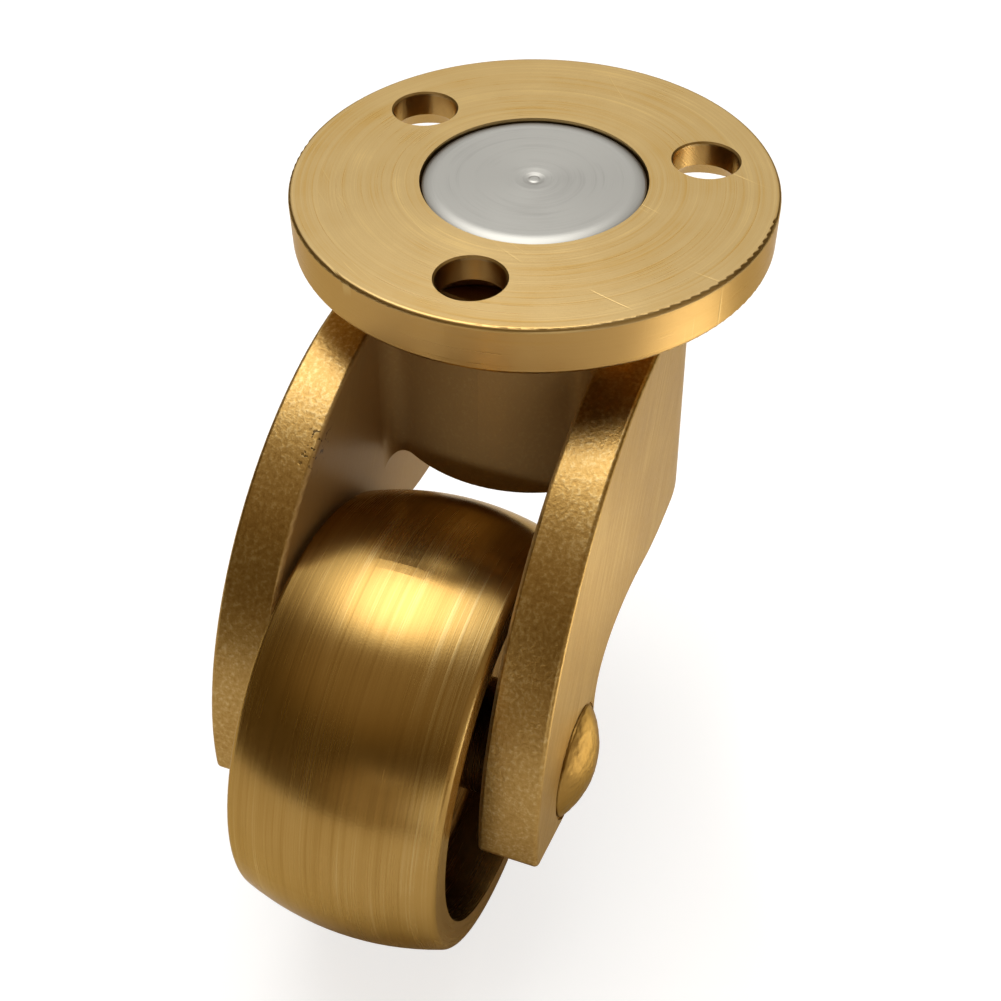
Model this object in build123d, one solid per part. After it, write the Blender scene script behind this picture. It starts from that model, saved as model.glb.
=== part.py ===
from build123d import *
from math import asin, cos, pi, radians, sin, tan
import os

# Brass plate castor for furniture: a round screw plate, a horn that swivels under it on a steel
# kingpin, and a barrel wheel on a riveted axle between the horn's two legs.
# Frame, in millimetres: the origin is the centre of the plate's top face, on the swivel axis.
# +Z points up into the furniture, +X the way the wheel trails, and the axle runs along Y.

# Screw plate
plate_diameter = 40.0
plate_thickness = 4.2
plate_edge_break = 0.35
screw_count = 3
screw_hole_diameter = 5.5
screw_hole_wall = 2.75
screw_hole_break = 0.15
screw_head_diameter = 9.6

# Kingpin and its washers
pin_seat_wall = 2.37
pin_head_thickness = 2.0
pin_head_edge = 0.3
pin_head_sink = 0.05
pin_head_side_gap = 0.18
pin_centre_mark_diameter = 1.5
pin_centre_mark_depth = 0.3
pin_shank_diameter = 10.0
pin_running_gap = 0.06
pin_tail_diameter = 12.6
pin_tail_height = 1.8
head_washer_thickness = 0.4
head_washer_inset = 0.8
thrust_washer_inset = 1.45
thrust_washer_thickness = 0.6
tail_washer_margin = 1.2
tail_washer_thickness = 1.0
face_running_gap = 0.05

# Horn: a round body under the plate, and two legs that sweep forward and down to the axle
horn_top_width = 26.9
horn_draft = 1.4
leg_top_thickness = 4.25
leg_top_drop = 3.4
leg_reach = 9.7
leg_toe_drop = 1.8
leg_toe_straight = 0.45
leg_toe_radius = 1.0
leg_end_wall = 0.4
leg_arch_rise = 2.6
leg_arch_place = 15.5
heel_above_axle = 2.4
body_above_axle = 12.55
horn_edge_break = 0.35
horn_inner_fillet = 1.5
lead_in_height = 3.6
lead_in_depth = 1.6
spot_face_margin = 0.2
spot_face_depth = 0.06

# Wheel and axle
axle_trail = 29.6
axle_drop = 35.0
wheel_crown_diameter = 37.8
wheel_crown_rise = 1.5
wheel_side_gap = 0.55
wheel_corner_radius = 0.7
rim_wall = 2.3
rim_draft = 0.5
wheel_web_thickness = 4.6
wheel_hub_diameter = 9.6
wheel_inner_fillet = 1.2
axle_diameter = 5.0
axle_running_gap = 0.05
axle_head_diameter = 9.6
axle_head_height = 2.0
axle_head_edge = 0.35
axle_washer_diameter = 8.4
axle_washer_thickness = 0.6

# Edges nearer than this to a place are taken to lie on it
same_place = 0.02

# Levels down the swivel axis, worked out from the sizes above
plate_underside = -plate_thickness
head_underside = -pin_head_sink - pin_head_thickness
head_washer_underside = head_underside - head_washer_thickness
counterbore_floor = head_washer_underside - face_running_gap
thrust_washer_top = plate_underside - face_running_gap
horn_top = thrust_washer_top - thrust_washer_thickness
leg_top = horn_top - leg_top_drop
body_underside = body_above_axle - axle_drop
body_height = horn_top - body_underside
heel_level = heel_above_axle - axle_drop
tail_washer_underside = body_underside - tail_washer_thickness

# Places across the castor
screw_circle_radius = (plate_diameter - screw_hole_diameter) / 2 - screw_hole_wall
pin_seat_radius = screw_circle_radius - screw_hole_diameter / 2 - pin_seat_wall
pin_head_radius = pin_seat_radius - pin_head_side_gap
horn_top_half_width = horn_top_width / 2
leg_inner = horn_top_half_width - leg_top_thickness
leg_gap = 2 * leg_inner
spot_face_radius = axle_head_diameter / 2 + spot_face_margin
leg_end_radius = spot_face_radius + leg_end_wall
spread = tan(radians(horn_draft))
leg_outer_at_spot = horn_top_half_width + spread * (axle_drop - spot_face_radius + horn_top)
rivet_seat = leg_outer_at_spot - spot_face_depth
hub_half_length = leg_inner - axle_washer_thickness - 2 * face_running_gap


def turned(face):
    """A solid of revolution about Z, from a half section drawn on the XZ plane."""
    return revolve(face, Axis.Z)


def washer(outer_diameter, inner_diameter, top, thickness):
    ring = Circle(outer_diameter / 2) - Circle(inner_diameter / 2)
    return extrude(Pos(0, 0, top - thickness) * ring, thickness)


def dome_arc(foot_radius, foot_level, height):
    """Half of a shallow spherical dome, from its foot to its tip on the Z axis, on the XZ plane.
    A negative height gives a dome that hangs down."""
    rise = abs(height)
    up = height / rise
    ball = (foot_radius**2 + rise**2) / (2 * rise)
    centre = rise - ball
    half_angle = asin(foot_radius / ball) / 2
    if foot_radius < rise:
        half_angle = (pi - 2 * half_angle) / 2
    middle = (ball * sin(half_angle), foot_level + up * (centre + ball * cos(half_angle)))
    return ThreePointArc((foot_radius, foot_level), middle, (0, foot_level + height))


def along_axle(solid):
    """Turn a solid made about Z so that it lies about the axle, with its +Z end at +Y."""
    return Pos(axle_trail, 0, -axle_drop) * Rot(-90, 0, 0) * solid


def screw_hole():
    """The space of one screw hole: a broken edge on top and a 90 degree countersink underneath."""
    hole = screw_hole_diameter / 2
    mouth = hole + screw_hole_break
    head = screw_head_diameter / 2
    outline = Polyline(
        (0, plate_underside), (head, plate_underside), (hole, plate_underside + head - hole),
        (hole, -screw_hole_break), (mouth, 0), (0, 0), close=True,
    )
    return turned(Plane.XZ * make_face(outline))


def top_plate():
    plate = extrude(Pos(0, 0, plate_underside) * Circle(plate_diameter / 2), plate_thickness)
    rims = plate.edges().filter_by(GeomType.CIRCLE)
    plate = fillet(rims, plate_edge_break)
    seat = extrude(Pos(0, 0, counterbore_floor) * Circle(pin_seat_radius), -counterbore_floor)
    neck_radius = pin_shank_diameter / 2 + pin_running_gap
    neck = extrude(Pos(0, 0, plate_underside) * Circle(neck_radius), plate_thickness)
    hole = screw_hole()
    holes = [place * hole for place in PolarLocations(screw_circle_radius, screw_count)]
    return plate - seat - neck - holes


def kingpin():
    shank_radius = pin_shank_diameter / 2
    tail_radius = pin_tail_diameter / 2
    head_top = -pin_head_sink
    outline = Polyline(
        (0, tail_washer_underside - pin_tail_height),
        (0, head_top - pin_centre_mark_depth),
        (pin_centre_mark_diameter / 2, head_top),
        (pin_head_radius, head_top),
        (pin_head_radius, head_underside),
        (shank_radius, head_underside),
        (shank_radius, tail_washer_underside),
        (tail_radius, tail_washer_underside),
    )
    tail = dome_arc(tail_radius, tail_washer_underside, -pin_tail_height)
    pin = turned(Plane.XZ * make_face(outline + tail))
    head_rim = pin.edges().filter_by(GeomType.CIRCLE).sort_by(SortBy.RADIUS)[-2:].sort_by(Axis.Z)[-1]
    return fillet(head_rim, pin_head_edge)


def leg_block():
    """A wide block with a leg's side outline: level top, round nose, toe, arched underside, heel."""
    back_x = -horn_top_width
    nose_x = axle_trail + leg_reach
    toe_z = -axle_drop - leg_toe_drop
    nose_z = toe_z + leg_toe_straight
    nose_radius = leg_top - nose_z
    bend_x = nose_x - nose_radius
    sole = (axle_trail, -axle_drop - leg_end_radius)
    eye_back = (axle_trail - leg_end_radius, -axle_drop)
    arch = (leg_arch_place, heel_level + leg_arch_rise)
    heel = (0, heel_level)
    outline = Polyline(heel, (back_x, heel_level), (back_x, leg_top), (bend_x, leg_top))
    outline += CenterArc((bend_x, nose_z), nose_radius, 0, 90)
    outline += Polyline((nose_x, nose_z), (nose_x, toe_z), sole)
    outline += RadiusArc(sole, eye_back, leg_end_radius)
    outline += Spline(eye_back, arch, heel, tangents=[(0, 1), (-1, 0)])
    block = extrude(Plane.XZ * make_face(outline), horn_top_width, both=True)
    toe_edge = block.edges().filter_by(Axis.Y).sort_by_distance((nose_x, 0, toe_z))[0]
    return fillet(toe_edge, leg_toe_radius)


def drafted(outline, height):
    """A block that hangs from the horn's top level and widens downward by the draft."""
    return extrude(Pos(0, 0, horn_top) * outline, height, dir=(0, 0, -1), taper=-horn_draft)


def lead_in():
    """The wedge cut from both toes, inside and below, that opens the way in for the wheel."""
    sole_level = -axle_drop - leg_end_radius
    top = sole_level + lead_in_height
    wide = leg_inner + lead_in_depth
    section = Polyline((-leg_inner, top), (leg_inner, top), (wide, sole_level), (-wide, sole_level), close=True)
    return Pos(axle_trail, 0, 0) * extrude(Plane.YZ * make_face(section), 2 * leg_reach, both=True)


def leg():
    """The leg at +Y with its edges broken. It runs back under the body and round its back."""
    depth = axle_drop + leg_reach
    plan = Circle(horn_top_half_width) + Pos(axle_trail, 0) * Rectangle(2 * axle_trail, horn_top_width)
    outside = Pos(0, leg_inner + horn_top_width / 2, -depth) * Box(4 * axle_trail, horn_top_width, 2 * depth)
    solid = leg_block() & drafted(plan, depth) & outside
    inner = solid.edges().filter_by(lambda edge: abs(edge.center().Y - leg_inner) < same_place)
    inner = inner.filter_by(lambda edge: edge.center().X > -leg_inner)
    outer = solid.edges().filter_by(lambda edge: edge.center().Y > horn_top_half_width)
    outer = outer.filter_by(lambda edge: edge.center().X > same_place)
    return fillet(inner + outer, horn_edge_break)


def horn():
    body = drafted(Circle(horn_top_half_width), body_height)
    body = fillet(body.edges().filter_by(GeomType.CIRCLE).sort_by(Axis.Z)[-1], horn_edge_break)
    solid = leg() + mirror(leg(), Plane.XZ) + body
    corners = solid.edges().filter_by(lambda edge: abs(abs(edge.center().Y) - leg_inner) < same_place)
    corners = corners.filter_by(lambda edge: edge.center().X < horn_top_half_width)
    lowest = body_underside - horn_edge_break
    highest = leg_top - horn_inner_fillet
    corners = corners.filter_by(lambda edge: lowest < edge.center().Z < highest)
    solid = fillet(corners, horn_inner_fillet)
    bore = extrude(Pos(0, 0, body_underside) * Circle(pin_shank_diameter / 2), body_height)
    axle_bore = along_axle(Cylinder(axle_diameter / 2, 2 * horn_top_width))
    spot = Cylinder(spot_face_radius, leg_gap)
    spot_place = rivet_seat + leg_inner
    spots = along_axle(Pos(0, 0, spot_place) * spot + Pos(0, 0, -spot_place) * spot)
    return solid - lead_in() - bore - axle_bore - spots


def wheel():
    crown = wheel_crown_diameter / 2
    edge = crown - wheel_crown_rise
    half = leg_inner - wheel_side_gap
    mouth = edge - rim_wall
    root = mouth - rim_draft
    web = wheel_web_thickness / 2
    hub = wheel_hub_diameter / 2
    bore = axle_diameter / 2 + axle_running_gap
    tread = ThreePointArc((edge, -half), (crown, 0), (edge, half))
    inside = Polyline(
        (edge, half), (mouth, half), (root, web), (hub, web), (hub, hub_half_length),
        (bore, hub_half_length), (bore, -hub_half_length), (hub, -hub_half_length), (hub, -web),
        (root, -web), (mouth, -half), (edge, -half),
    )
    solid = turned(Plane.XZ * make_face(tread + inside))
    circles = solid.edges().filter_by(GeomType.CIRCLE)
    corners = circles.filter_by(lambda rim: abs(rim.radius - edge) < same_place)
    solid = fillet(corners, wheel_corner_radius)
    circles = solid.edges().filter_by(GeomType.CIRCLE)
    roots = circles.filter_by(lambda rim: abs(abs(rim.arc_center.Z) - web) < same_place)
    return along_axle(fillet(roots, wheel_inner_fillet))


def axle_rivet():
    shank = axle_diameter / 2
    head = axle_head_diameter / 2
    seat = rivet_seat
    shoulder = seat + axle_head_edge
    dome = axle_head_height - axle_head_edge
    outline = Polyline((0, -shoulder - dome), (0, shoulder + dome))
    outline += dome_arc(head, shoulder, dome)
    outline += Polyline(
        (head, shoulder), (head, seat), (shank, seat), (shank, -seat), (head, -seat), (head, -shoulder)
    )
    outline += dome_arc(head, -shoulder, -dome)
    return along_axle(turned(Plane.XZ * make_face(outline)))


def axle_washer(side):
    """Washer between the hub and a leg. side is 1 at +Y and -1 at -Y."""
    near = leg_inner - face_running_gap
    top = near if side > 0 else -near + axle_washer_thickness
    ring = washer(axle_washer_diameter, axle_diameter, top, axle_washer_thickness)
    return along_axle(ring)


def head_washer():
    outer = 2 * (pin_head_radius - head_washer_inset)
    return washer(outer, pin_shank_diameter, head_underside, head_washer_thickness)


def thrust_washer():
    outer = horn_top_width - 2 * thrust_washer_inset
    return washer(outer, pin_shank_diameter, thrust_washer_top, thrust_washer_thickness)


def tail_washer():
    outer = pin_tail_diameter + 2 * tail_washer_margin
    return washer(outer, pin_shank_diameter, body_underside, tail_washer_thickness)


parts = {
    "top_plate": top_plate(),
    "kingpin": kingpin(),
    "head_washer": head_washer(),
    "thrust_washer": thrust_washer(),
    "tail_washer": tail_washer(),
    "horn": horn(),
    "wheel": wheel(),
    "axle_rivet": axle_rivet(),
    "axle_washer_left": axle_washer(-1),
    "axle_washer_right": axle_washer(1),
}

os.makedirs("parts", exist_ok=True)
for name, solid in parts.items():
    export_step(solid, f"parts/{name}.step")
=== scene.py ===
import math

import bpy
from mathutils import Matrix, Vector, noise


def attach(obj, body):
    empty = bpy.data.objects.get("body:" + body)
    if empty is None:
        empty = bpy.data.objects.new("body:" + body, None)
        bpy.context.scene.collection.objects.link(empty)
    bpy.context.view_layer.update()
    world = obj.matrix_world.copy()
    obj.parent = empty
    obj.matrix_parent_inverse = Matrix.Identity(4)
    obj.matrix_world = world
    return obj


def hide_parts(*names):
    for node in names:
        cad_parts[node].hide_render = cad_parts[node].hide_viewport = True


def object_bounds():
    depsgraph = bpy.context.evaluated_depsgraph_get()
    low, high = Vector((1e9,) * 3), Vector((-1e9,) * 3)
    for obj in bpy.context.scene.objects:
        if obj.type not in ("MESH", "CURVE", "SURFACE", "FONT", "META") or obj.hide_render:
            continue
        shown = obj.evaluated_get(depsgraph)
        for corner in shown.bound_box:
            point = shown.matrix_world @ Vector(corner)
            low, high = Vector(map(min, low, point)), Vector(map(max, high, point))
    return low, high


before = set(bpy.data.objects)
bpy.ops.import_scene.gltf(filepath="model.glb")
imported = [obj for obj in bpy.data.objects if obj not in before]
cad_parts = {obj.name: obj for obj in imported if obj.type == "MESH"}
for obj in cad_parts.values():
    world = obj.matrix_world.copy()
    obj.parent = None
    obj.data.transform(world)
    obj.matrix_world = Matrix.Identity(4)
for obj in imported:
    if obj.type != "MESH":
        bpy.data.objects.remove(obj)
cad_low, cad_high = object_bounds()

# Lengths are in millimetres up to the floor, and MM turns them into metres.
MM = 0.001

# Places and sizes that the looks share with the CAD
AXLE_X = 29.6
AXLE_Z = -35.0
LEG_INNER = 9.2
PLATE_RADIUS = 20.0
PIN_HEAD_TOP = -0.05
PIN_HEAD_UNDERSIDE = -2.05
PIN_HEAD_RADIUS = 9.2
PIN_SHANK_RADIUS = 5.0
PIN_TAIL_RADIUS = 6.3
PIN_TAIL_SEAT = -23.45
PIN_TAIL_END = -25.25
RIVET_SHANK_RADIUS = 2.5
RIVET_HEAD_RADIUS = 4.8
RIVET_HEAD_SEAT = 14.005
RIVET_HEAD_SHOULDER = 14.30
RIVET_HEAD_TIP = 16.0

# Colours of the bare metals, linear RGB, and tones painted as shade, as marked beside them
BRASS = (0.400, 0.245, 0.072, 1.0)
BRASS_LIGHT = (0.52, 0.365, 0.150, 1.0)
BRASS_DEEP = (0.315, 0.180, 0.045, 1.0)
# A deeper, more orange brass painted on the plate's side as its shaded look
BRASS_SHADED_FLANK = (0.43, 0.255, 0.078, 1.0)
BRASS_EDGE_TINT = (0.86, 0.74, 0.53, 1.0)
# Brown painted as shade between the horn's legs; also the washers' third tone
BRASS_DULL_SHADED = (0.43, 0.275, 0.115, 1.0)
# Painted shade for the wheel's hub recess
BRASS_SHADED = (0.20, 0.115, 0.040, 1.0)
# The plate's paler brass, which paints its top with a lit look
PLATE_BRASS = (0.425, 0.298, 0.132, 1.0)
STEEL = (0.305, 0.297, 0.272, 1.0)
STEEL_EDGE_TINT = (1.0, 1.0, 1.0, 1.0)
STEEL_DEEP = (0.265, 0.257, 0.235, 1.0)
PIT_NEAR_BLACK = (0.05, 0.03, 0.012, 1.0)

# Shares of the turned lines' three widths in the tone of a turned surface
FINE_SHARE = 0.55
BROAD_SHARE = 0.55
SWEEP_SHARE = 0.3
# Factors on the noise's step for the two wider kinds of line. A smaller one makes wider lines.
BROAD_STEP = 0.19
SWEEP_STEP = 0.04
# How fast a turned line changes along its run round the axis
RUN_CHANGE = 0.7

# The way down a leg's side, in X and Z
LEG_RUN_X = 0.55
LEG_RUN_Z = -0.83
# The pits in the left leg: X and Z of their middle, and the bands in Y where they begin and end
PITS_X = 24.5
PITS_Z = -11.0
PITS_INNER = (-8.3, -8.9)
PITS_OUTER = (-10.6, -9.9)


class Nodes:
    """Builds one node tree. Every method gives back an output socket."""

    def __init__(self, tree):
        self.tree = tree

    def node(self, kind, **settings):
        made = self.tree.nodes.new(kind)
        for key, value in settings.items():
            setattr(made, key, value)
        return made

    def feed(self, socket, value):
        if isinstance(value, bpy.types.NodeSocket):
            self.tree.links.new(value, socket)
        else:
            socket.default_value = value

    def math(self, operation, *values):
        made = self.node("ShaderNodeMath", operation=operation)
        for socket, value in zip(made.inputs, values):
            self.feed(socket, value)
        return made.outputs[0]

    def add(self, *values):
        total = values[0]
        for value in values[1:]:
            total = self.math("ADD", total, value)
        return total

    def times(self, *values):
        total = values[0]
        for value in values[1:]:
            total = self.math("MULTIPLY", total, value)
        return total

    def length(self, u, v):
        return self.math("SQRT", self.add(self.times(u, u), self.times(v, v)))

    def join(self, x, y, z=0.0):
        made = self.node("ShaderNodeCombineXYZ")
        for socket, value in zip(made.inputs, (x, y, z)):
            self.feed(socket, value)
        return made.outputs[0]

    def split(self, vector):
        made = self.node("ShaderNodeSeparateXYZ")
        self.feed(made.inputs[0], vector)
        return made.outputs

    def dot(self, vector, direction):
        made = self.node("ShaderNodeVectorMath", operation="DOT_PRODUCT")
        self.feed(made.inputs[0], vector)
        made.inputs[1].default_value = Vector(direction).normalized()
        return made.outputs["Value"]

    def place(self):
        """The place in the row frame, in metres. It stays with the body as the body moves."""
        return self.node("ShaderNodeTexCoord").outputs["Object"]

    def normal(self):
        return self.node("ShaderNodeTexCoord").outputs["Normal"]

    def noise(self, vector, scale=1.0, detail=2.0, roughness=0.5):
        made = self.node("ShaderNodeTexNoise")
        self.feed(made.inputs["Vector"], vector)
        made.inputs["Scale"].default_value = scale
        made.inputs["Detail"].default_value = detail
        made.inputs["Roughness"].default_value = roughness
        return made.outputs["Fac"]

    def fit(self, value, low, high, to_low=0.0, to_high=1.0):
        """A smooth step of value from low to high. It may run downward."""
        made = self.node("ShaderNodeMapRange", interpolation_type="SMOOTHSTEP")
        made.inputs["From Min"].default_value = low
        made.inputs["From Max"].default_value = high
        made.inputs["To Min"].default_value = to_low
        made.inputs["To Max"].default_value = to_high
        self.feed(made.inputs["Value"], value)
        return made.outputs["Result"]

    def mix(self, share, a, b):
        made = self.node("ShaderNodeMix", data_type="RGBA")
        self.feed(made.inputs["Factor"], share)
        colours = [socket for socket in made.inputs if socket.type == "RGBA"]
        self.feed(colours[0], a)
        self.feed(colours[1], b)
        return [socket for socket in made.outputs if socket.type == "RGBA"][0]

    def blend(self, share, a, b):
        """a where share is 0 and b where it is 1."""
        return self.add(a, self.times(share, self.math("SUBTRACT", b, a)))

    def bump(self, height, depth):
        """Fine relief, depth in millimetres. On level faces it starts from the flat face, because the
        smoothed normals there ripple near the edges."""
        made = self.node("ShaderNodeBump")
        geometry = self.node("ShaderNodeNewGeometry").outputs
        level = self.fit(self.dot(geometry["True Normal"], (0.0, 0.0, 1.0)), 0.995, 0.9995)
        self.feed(made.inputs["Normal"], self.mix(level, geometry["Normal"], geometry["True Normal"]))
        made.inputs["Strength"].default_value = 1.0
        made.inputs["Distance"].default_value = depth * MM
        self.feed(made.inputs["Height"], height)
        return made.outputs["Normal"]


class Metal(Nodes):
    """One material, with a metallic shader."""

    def __init__(self, name, tint=BRASS_EDGE_TINT, anisotropy=0.0, axis=None):
        self.material = bpy.data.materials.new(name)
        self.material.use_nodes = True
        super().__init__(self.material.node_tree)
        self.shader = self.tree.nodes["Principled BSDF"]
        self.shader.inputs["Metallic"].default_value = 1.0
        self.shader.inputs["Specular Tint"].default_value = tint
        if axis:
            # The shine spreads across the turned lines, which run round the axis
            self.shader.inputs["Anisotropic"].default_value = anisotropy
            self.shader.inputs["Anisotropic Rotation"].default_value = 0.25
            tangent = self.node("ShaderNodeTangent", direction_type="RADIAL", axis=axis)
            self.feed(self.shader.inputs["Tangent"], tangent.outputs["Tangent"])

    def finish(self, colour, roughness, normal):
        self.feed(self.shader.inputs["Base Color"], colour)
        self.feed(self.shader.inputs["Roughness"], roughness)
        self.feed(self.shader.inputs["Normal"], normal)
        return self.material


def turned_metal(name, axis, centre, colours, roughness, anisotropy, line_width, line_depth,
                 scratches=None, rim=None, flank=None, recess=None, cloud_share=0.5):
    """Turned or brushed metal, with fine lines that run round an axis.

    centre is the axis's place in the plane across it, and colours are a light, a plain and a deep one.
    scratches is the middle that long arcs run round, rim the radius and level of an edge rubbed bright by
    wear and lit with a painted highlight, flank a level with the colour of painted shade below it, and
    recess a radius with the colour of painted shade inside it.
    """
    light, plain, deep = colours
    tint = STEEL_EDGE_TINT if plain == STEEL else BRASS_EDGE_TINT
    n = Metal(name, tint, anisotropy, axis)
    x, y, z = n.split(n.place())
    across, up = (y, z) if axis == "Z" else (z, y)
    u = n.add(x, -centre[0] * MM)
    v = n.add(across, -centre[1] * MM)
    radius = n.length(u, v)
    # The noise changes fast across the lines and slowly along them
    turn_u = n.times(n.math("DIVIDE", u, n.math("MAXIMUM", radius, 1e-5)), RUN_CHANGE)
    turn_v = n.times(n.math("DIVIDE", v, n.math("MAXIMUM", radius, 1e-5)), RUN_CHANGE)
    step = n.times(n.add(radius, n.times(up, 0.83)), 1.0 / (line_width * MM))
    fine = n.noise(n.join(step, turn_u, turn_v), 1.0, 2.0, 0.6)
    broad = n.noise(n.join(n.times(step, BROAD_STEP), turn_u, turn_v), 1.0, 2.0, 0.55)
    sweep = n.noise(n.join(n.times(step, SWEEP_STEP), turn_u, turn_v), 1.0, 2.0, 0.5)
    grain = n.noise(n.place(), 5200.0, 1.0)
    cloud = n.noise(n.place(), 130.0, 3.0, 0.55)
    height = n.add(fine, n.times(broad, 0.9), n.times(grain, 0.3))
    tone = n.add(n.times(fine, FINE_SHARE), n.times(broad, BROAD_SHARE),
                 n.times(sweep, SWEEP_SHARE), n.times(cloud, cloud_share))
    middle = (FINE_SHARE + BROAD_SHARE + SWEEP_SHARE + cloud_share) / 2
    base = n.mix(n.fit(tone, middle - 0.30, middle + 0.06), deep, plain)
    base = n.mix(n.fit(tone, middle + 0.02, middle + 0.34), base, light)
    # Below the level the colour turns deeper: on the plate, painted shade on its side
    if flank:
        level, colour = flank
        base = n.mix(n.fit(up, (level + 0.15) * MM, level * MM, 0.0, 0.8), base, colour)
    # Inside the radius the colour turns to the one given: on the wheel, painted shade in its hub recess
    if recess:
        inside, colour = recess
        base = n.mix(n.fit(radius, (inside + 0.15) * MM, inside * MM, 0.0, 0.95), base, colour)
    if scratches:
        # Long thin arcs left by an off-centre pass, here and there
        middle_x, middle_y = scratches
        ring = n.times(n.length(n.add(x, -middle_x * MM), n.add(y, -middle_y * MM)), 3600.0)
        arcs = n.noise(n.join(ring, n.times(x, 40.0), n.times(y, 40.0)), 1.0, 1.0)
        arcs = n.times(n.fit(arcs, 0.66, 0.76), n.fit(n.noise(n.place(), 150.0, 1.0), 0.5, 0.62))
        height = n.add(height, n.times(arcs, -1.2))
        base = n.mix(n.times(arcs, 0.75), base, light)
    # The top edge is lightened all round: partly rubbed bright by wear, partly a painted highlight
    if rim:
        edge, level = rim
        wear_and_highlight = n.times(n.fit(radius, (edge - 0.4) * MM, (edge - 0.05) * MM),
                       n.fit(up, (level - 0.4) * MM, level * MM))
        base = n.mix(n.times(wear_and_highlight, n.fit(cloud, 0.3, 0.6, 0.3, 0.7)), base, light)
    rough = n.add(n.times(fine, 0.10), n.times(cloud, 0.10), roughness - 0.10)
    return n.finish(base, rough, n.bump(height, line_depth))


def cast_metal(name):
    """Satin brass of the horn: grained like leather on the curved fronts, brushed along the sides."""
    n = Metal(name)
    # A thin lacquer pales the brightest places, and the dull ones mirror little
    n.shader.inputs["Coat Weight"].default_value = 0.15
    n.shader.inputs["Coat Roughness"].default_value = 0.25
    n.shader.inputs["Specular IOR Level"].default_value = 0.15
    x, y, z = n.split(n.place())
    sideways = n.split(n.normal())[1]
    side = n.fit(n.math("ABSOLUTE", sideways), 0.80, 0.97)
    across_leg = n.add(n.times(x, -LEG_RUN_Z), n.times(z, LEG_RUN_X))
    along_leg = n.add(n.times(x, LEG_RUN_X), n.times(z, LEG_RUN_Z))
    depth = n.times(y, 300.0)
    lines = n.noise(n.join(n.times(across_leg, 8600.0), n.times(along_leg, 260.0), depth), 1.0, 2.0, 0.6)
    broad = n.noise(n.join(n.times(across_leg, 1900.0), n.times(along_leg, 90.0), depth), 1.0, 2.0, 0.6)
    grain = n.noise(n.place(), 2900.0, 2.0, 0.6)
    cloud = n.noise(n.place(), 170.0, 3.0, 0.55)
    specks = n.fit(n.noise(n.place(), 1900.0, 1.0), 0.80, 0.86)
    # Small casting pits beside the left leg's inner edge, coloured nearly black
    away = n.length(n.add(x, -PITS_X * MM), n.add(z, -PITS_Z * MM))
    bands = [n.fit(y, start * MM, end * MM) for start, end in (PITS_INNER, PITS_OUTER)]
    pit_area = n.times(n.fit(away, 3.2 * MM, 1.0 * MM), *bands)
    pits = n.times(n.fit(n.noise(n.place(), 2300.0, 1.0), 0.60, 0.66), pit_area)
    front_height = n.add(n.times(grain, 2.2), n.times(cloud, 1.5), n.times(specks, 0.8))
    side_height = n.add(n.times(lines, 0.55), n.times(broad, 0.5), n.times(grain, 0.2))
    height = n.add(n.blend(side, front_height, side_height), n.times(pits, -2.5))
    front_tone = n.add(n.times(grain, 0.75), n.times(cloud, 0.25))
    side_tone = n.add(n.times(lines, 0.45), n.times(broad, 0.30), n.times(cloud, 0.25))
    tone = n.blend(side, front_tone, side_tone)
    base = n.mix(n.fit(tone, 0.28, 0.54), BRASS_DEEP, BRASS)
    base = n.mix(n.fit(tone, 0.48, 0.70), base, BRASS_LIGHT)
    # The surfaces between the legs are dull, where no cloth reaches, and painted a flat brown as the
    # shade that falls between the legs
    dull_shaded_inside = n.fit(n.math("ABSOLUTE", y), (LEG_INNER + 0.35) * MM, (LEG_INNER + 0.02) * MM)
    base = n.mix(n.times(dull_shaded_inside, n.fit(tone, 0.2, 0.8, 0.95, 0.6)), base, BRASS_DULL_SHADED)
    base = n.mix(n.times(specks, 0.6), base, BRASS_LIGHT)
    base = n.mix(n.times(pits, 0.9), base, PIT_NEAR_BLACK)
    n.feed(n.shader.inputs["Metallic"], n.add(n.times(dull_shaded_inside, -0.6), 1.0))
    rough = n.add(n.times(grain, 0.10), n.times(cloud, 0.10), n.times(side, 0.03), n.times(dull_shaded_inside, 0.16),
                  0.25)
    return n.finish(base, rough, n.bump(height, 0.012))


SWIVEL = (0.0, 0.0)
AXLE = (AXLE_X, AXLE_Z)
materials = {
    "plate_brass": turned_metal(
        "plate_brass", "Z", SWIVEL, (BRASS_LIGHT, PLATE_BRASS, BRASS),
        roughness=0.30, anisotropy=0.2, line_width=0.085, line_depth=0.009,
        scratches=(-34.0, 27.0), rim=(PLATE_RADIUS, 0.0), flank=(-0.4, BRASS_SHADED_FLANK)),
    "wheel_brass": turned_metal(
        "wheel_brass", "Y", AXLE, (BRASS_LIGHT, BRASS, BRASS_DEEP),
        roughness=0.26, anisotropy=0.45, line_width=0.080, line_depth=0.007,
        recess=(15.0, BRASS_SHADED), cloud_share=0.3),
    "rivet_brass": turned_metal(
        "rivet_brass", "Y", AXLE, (BRASS, BRASS_DEEP, BRASS_DEEP),
        roughness=0.33, anisotropy=0.0, line_width=0.20, line_depth=0.008),
    "washer_brass": turned_metal(
        # The washers' third tone is the brown painted as shade between the horn's legs
        "washer_brass", "Z", SWIVEL, (BRASS, BRASS_DEEP, BRASS_DULL_SHADED),
        roughness=0.38, anisotropy=0.0, line_width=0.12, line_depth=0.006),
    "pin_steel": turned_metal(
        "pin_steel", "Z", SWIVEL, (STEEL, STEEL, STEEL_DEEP),
        roughness=0.36, anisotropy=0.2, line_width=0.10, line_depth=0.004),
    "horn_brass": cast_metal("horn_brass"),
}
node_slots = {
    "top_plate": "plate_brass",
    "head_washer": "washer_brass",
    "thrust_washer": "washer_brass",
    "tail_washer": "washer_brass",
    "horn": "horn_brass",
    "wheel": "wheel_brass",
    "axle_washer_left": "washer_brass",
    "axle_washer_right": "washer_brass",
}
for node_name, slot_name in node_slots.items():
    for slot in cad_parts[node_name].material_slots:
        slot.material = materials[slot_name]


# Turned pieces with finer forms than their CAD nodes

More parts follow.
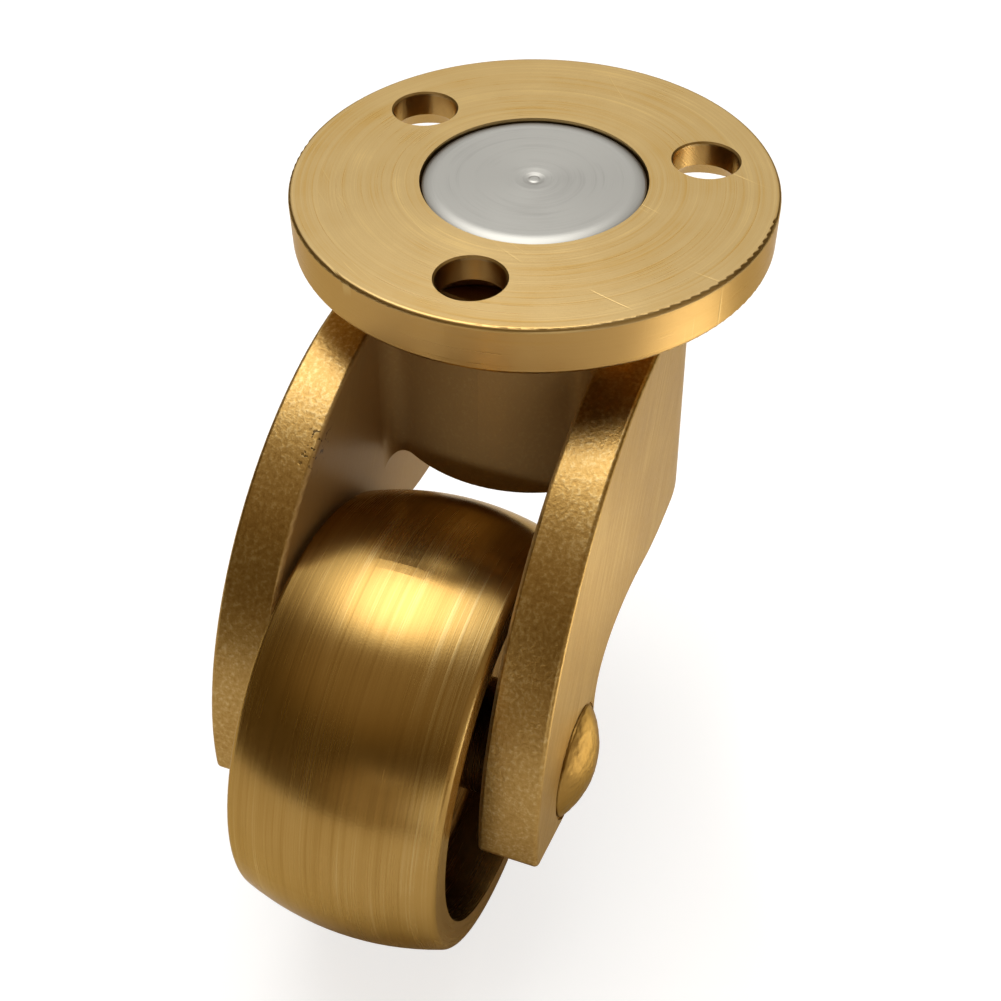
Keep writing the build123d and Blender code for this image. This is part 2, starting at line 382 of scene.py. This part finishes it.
def rounded(points, radii, steps=5):
    """The line through the points (distance from the axis, place along it), with its inner corners
    rounded by the radii, one for each inner corner."""
    line = [Vector(points[0])]
    for before, corner, after, size in zip(points, points[1:], points[2:], radii):
        corner = Vector(corner)
        to_before = (Vector(before) - corner).normalized()
        to_after = (Vector(after) - corner).normalized()
        half = to_before.angle(to_after) / 2
        if size <= 0 or half > math.radians(89):
            line.append(corner)
            continue
        reach = size / math.tan(half)
        start = corner + to_before * reach
        end = corner + to_after * reach
        for step in range(steps + 1):
            t = step / steps
            line.append((1 - t) ** 2 * start + 2 * t * (1 - t) * corner + t ** 2 * end)
    line.append(Vector(points[-1]))
    return line


def divided(line, longest):
    """The same line with more points, so that no run is longer than the given length."""
    fine = [line[0]]
    for start, end in zip(line, line[1:]):
        runs = max(1, math.ceil((end - start).length / longest))
        fine += [start.lerp(end, run / runs) for run in range(1, runs + 1)]
    return fine


def lathe(name, line, sides, to_frame, material, relief=None):
    """A closed turned mesh. The line runs from the axis to the axis, and relief moves its points."""
    places = []
    faces = []
    rings = []
    for radius, level in line:
        if radius < 1e-6:
            rings.append([len(places)])
            places.append(Vector((0.0, 0.0, level)))
            continue
        rings.append(list(range(len(places), len(places) + sides)))
        for side in range(sides):
            angle = math.tau * side / sides
            places.append(Vector((radius * math.cos(angle), radius * math.sin(angle), level)))
    for low, high in zip(rings, rings[1:]):
        for side in range(sides):
            after = (side + 1) % sides
            if len(low) == 1:
                faces.append((low[0], high[after], high[side]))
            elif len(high) == 1:
                faces.append((low[side], low[after], high[0]))
            else:
                faces.append((low[side], low[after], high[after], high[side]))
    if relief:
        places = [relief(place) for place in places]
    mesh = bpy.data.meshes.new(name)
    mesh.from_pydata([to_frame @ (place * MM) for place in places], [], faces)
    mesh.validate()
    mesh.shade_smooth()
    mesh.materials.append(material)
    piece = bpy.data.objects.new(name, mesh)
    bpy.context.scene.collection.objects.link(piece)
    return piece


def kingpin():
    """The steel pin: a head that falls away towards its rim, with a small nib in its middle."""
    nib = [(0.0, -0.10), (0.34, -0.11), (0.52, -0.17), (0.95, -0.09), (1.6, -0.052)]
    nib_radii = [0.1, 0.08, 0.12, 0.3]
    flat_end = (7.2, PIN_HEAD_TOP)
    falls = [(8.0 + 0.15 * step, PIN_HEAD_TOP - 0.23 * (step / 7) ** 2) for step in range(8)]
    side = [(PIN_HEAD_RADIUS, -0.36), (PIN_HEAD_RADIUS, PIN_HEAD_UNDERSIDE)]
    side_radii = [0.05, 0.12]
    neck = (PIN_SHANK_RADIUS, PIN_HEAD_UNDERSIDE)
    head = rounded([*nib, flat_end, *falls, *side, neck], nib_radii + [0.0] * 9 + side_radii)
    tail = rounded(
        [neck, (PIN_SHANK_RADIUS, PIN_TAIL_SEAT), (PIN_TAIL_RADIUS, PIN_TAIL_SEAT), (6.22, -23.9),
         (4.4, -24.95), (0.0, PIN_TAIL_END)],
        [0.0, 0.08, 0.1, 0.6], 8)
    line = divided(head + tail[1:], 1.2)
    return lathe("kingpin_turned", line, 192, Matrix.Identity(4), materials["pin_steel"])


RIVET_RISE = RIVET_HEAD_TIP - RIVET_HEAD_SHOULDER
RIVET_BALL = (RIVET_HEAD_RADIUS ** 2 + RIVET_RISE ** 2) / (2 * RIVET_RISE)


def hammered(place):
    """Moves a point of a rivet head inward, by the small flats and pits that the setting tool leaves."""
    if abs(place.z) < RIVET_HEAD_SHOULDER - 0.1:
        return place
    middle = Vector((0.0, 0.0, math.copysign(RIVET_HEAD_TIP - RIVET_BALL, place.z)))
    flats = 0.5 + 0.5 * noise.noise(place * 0.75)
    peel = 0.5 + 0.5 * noise.noise(place * 2.9)
    depth = 0.10 * flats + 0.05 * peel
    return place - (place - middle).normalized() * depth


def axle_rivet():
    """The brass axle, with a domed and hammered head at each end."""
    widest = math.asin(RIVET_HEAD_RADIUS / RIVET_BALL)
    centre = RIVET_HEAD_TIP - RIVET_BALL
    turns = [widest * step / 40 for step in range(40)]
    arc = [(RIVET_BALL * math.sin(turn), centre + RIVET_BALL * math.cos(turn)) for turn in turns]
    edge = rounded(
        [arc[-1], (RIVET_HEAD_RADIUS, RIVET_HEAD_SHOULDER), (RIVET_HEAD_RADIUS - 0.05, RIVET_HEAD_SEAT),
         (RIVET_SHANK_RADIUS, RIVET_HEAD_SEAT)],
        [0.16, 0.12], 6)
    half = [Vector(point) for point in arc] + edge[1:]
    other = [Vector((radius, -level)) for radius, level in reversed(half)]
    line = divided(half + other, 1.5)
    to_place = Matrix.Translation((AXLE_X * MM, 0.0, AXLE_Z * MM))
    to_axle = to_place @ Matrix.Rotation(math.radians(-90), 4, "X")
    return lathe("axle_rivet_hammered", line, 160, to_axle, materials["rivet_brass"], hammered)


for piece, node_name, slot_name in (
    (kingpin(), "kingpin", "pin_steel"),
    (axle_rivet(), "axle_rivet", "rivet_brass"),
):
    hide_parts(node_name)
    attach(piece, "horn")


# Floor: a pale sheet just under the wheel. From here on lengths are in metres.
FLOOR_LEVEL = cad_low.z - 0.0002
FLOOR_RADIUS = 0.45
FLOOR_SIDES = 128
floor_mesh = bpy.data.meshes.new("floor")
turns = [math.tau * side / FLOOR_SIDES for side in range(FLOOR_SIDES)]
rim = [(FLOOR_RADIUS * math.cos(turn), FLOOR_RADIUS * math.sin(turn), FLOOR_LEVEL) for turn in turns]
floor_mesh.from_pydata(rim, [], [tuple(range(FLOOR_SIDES))])
floor = bpy.data.objects.new("floor", floor_mesh)
bpy.context.scene.collection.objects.link(floor)
paper = bpy.data.materials.new("floor_paper")
paper.use_nodes = True
paper_nodes = Nodes(paper.node_tree)
paper_shader = paper.node_tree.nodes["Principled BSDF"]
paper_shader.inputs["Roughness"].default_value = 1.0
paper_shader.inputs["Specular IOR Level"].default_value = 0.0
# Seen directly, the sheet is lit through from below: it is nearly white, and its shadows are faint
lit_through = paper_nodes.node("ShaderNodeLightPath").outputs["Is Camera Ray"]
paper_tone = paper_nodes.mix(lit_through, (0.93, 0.93, 0.93, 1.0), (0.40, 0.40, 0.40, 1.0))
paper_nodes.feed(paper_shader.inputs["Base Color"], paper_tone)
paper_shader.inputs["Emission Color"].default_value = (1.0, 1.0, 1.0, 1.0)
paper_nodes.feed(paper_shader.inputs["Emission Strength"], paper_nodes.times(lit_through, 0.74))
floor_mesh.materials.append(paper)

# Soft studio light from all round. Each lobe is its direction, the angles in degrees where it is full
# and where it ends, and its brightness. The first shines in the plate's top and the second, nearly
# overhead, in the wheel and the legs' fronts. The others are overhead at the front, at the right, low at
# the front right and low at the front. Between the lobes the light is dim and warm.
LOBES = (
    ((-0.62, -0.20, 0.76), 25, 50, 1.05),
    ((-0.31, -0.20, 0.93), 8, 28, 3.6),
    ((0.30, -0.20, 0.93), 8, 42, 0.30),
    ((0.20, 0.90, 0.35), 10, 50, 0.34),
    ((0.88, 0.48, 0.12), 6, 20, 1.2),
    ((0.98, -0.05, 0.16), 4, 20, 0.38),
)
DIM = 0.13
BACKDROP = 1.05
WARM = (1.0, 0.68, 0.26, 1.0)
WHITE = (1.0, 0.995, 0.985, 1.0)
world = bpy.data.worlds.new("studio")
bpy.context.scene.world = world
world.use_nodes = True
sky = Nodes(world.node_tree)
direction = sky.node("ShaderNodeTexCoord").outputs["Generated"]
glow = DIM
for aim, full, end, power in LOBES:
    nearest, farthest = math.cos(math.radians(full)), math.cos(math.radians(end))
    glow = sky.add(sky.fit(sky.dot(direction, aim), farthest, nearest, 0.0, power), glow)
# Seen directly, the backdrop beyond the floor's edge is white
seen = sky.node("ShaderNodeLightPath").outputs["Is Camera Ray"]
background = world.node_tree.nodes["Background"]
sky.feed(background.inputs["Strength"], sky.blend(seen, glow, BACKDROP))
sky.feed(background.inputs["Color"], sky.mix(sky.fit(sky.add(glow, seen), DIM, 0.9), WARM, WHITE))


def spot(name, energy, degrees, blend, size, place, aim):
    """A spot light that stands at a place and shines at another. Size is the radius of its face."""
    light = bpy.data.lights.new(name, "SPOT")
    light.energy = energy
    light.spot_size = math.radians(degrees)
    light.spot_blend = blend
    light.shadow_soft_size = size
    lamp = bpy.data.objects.new(name, light)
    bpy.context.scene.collection.objects.link(lamp)
    lamp.location = place
    lamp.rotation_euler = (Vector(aim) - lamp.location).to_track_quat("-Z", "Y").to_euler()


# A small pool of light on the floor at the right, which shines in the plate's side
spot("pool", 3.3, 24, 0.8, 0.01, (0.0, 0.13, 0.10), (0.0, 0.068, FLOOR_LEVEL))
# A weak light from the front, which reaches the horn's body between the legs
spot("fill", 0.25, 7, 1.0, 0.008, (0.150, 0.012, 0.022), (0.012, 0.0, -0.019))

bpy.context.scene.view_settings.view_transform = "Standard"

# The camera, which was fitted to the photograph's plate, pin, holes and legs. Angles are in degrees,
# and the distance and the shifts are in plate radii.
AZIMUTH = 20.55
ELEVATION = 45.12
ROLL = -0.632
DISTANCE = 5.759
SHIFT_RIGHT = 0.137
SHIFT_UP = 1.316
UNIT = PLATE_RADIUS * MM
FOCAL_PIXELS = 1413.476
FRAME_PIXELS = 1001
SENSOR = 36.0

azimuth, elevation, roll = math.radians(AZIMUTH), math.radians(ELEVATION), math.radians(ROLL)
level = math.cos(elevation)
back = Vector((level * math.cos(azimuth), level * math.sin(azimuth), math.sin(elevation)))
level_right = Vector((0, 0, 1)).cross(back).normalized()
level_up = back.cross(level_right)
right = math.cos(roll) * level_right + math.sin(roll) * level_up
up = -math.sin(roll) * level_right + math.cos(roll) * level_up
camera_data = bpy.data.cameras.new("camera")
camera_data.sensor_width = SENSOR
camera_data.sensor_fit = "HORIZONTAL"
camera_data.lens = SENSOR * FOCAL_PIXELS / FRAME_PIXELS
camera_data.clip_start = 0.005
camera_data.clip_end = 20.0
camera = bpy.data.objects.new("camera", camera_data)
bpy.context.scene.collection.objects.link(camera)
stand = -(right * SHIFT_RIGHT + up * SHIFT_UP - back * DISTANCE) * UNIT
camera.matrix_world = Matrix.Translation(stand) @ Matrix((right, up, back)).transposed().to_4x4()
bpy.context.scene.camera = camera
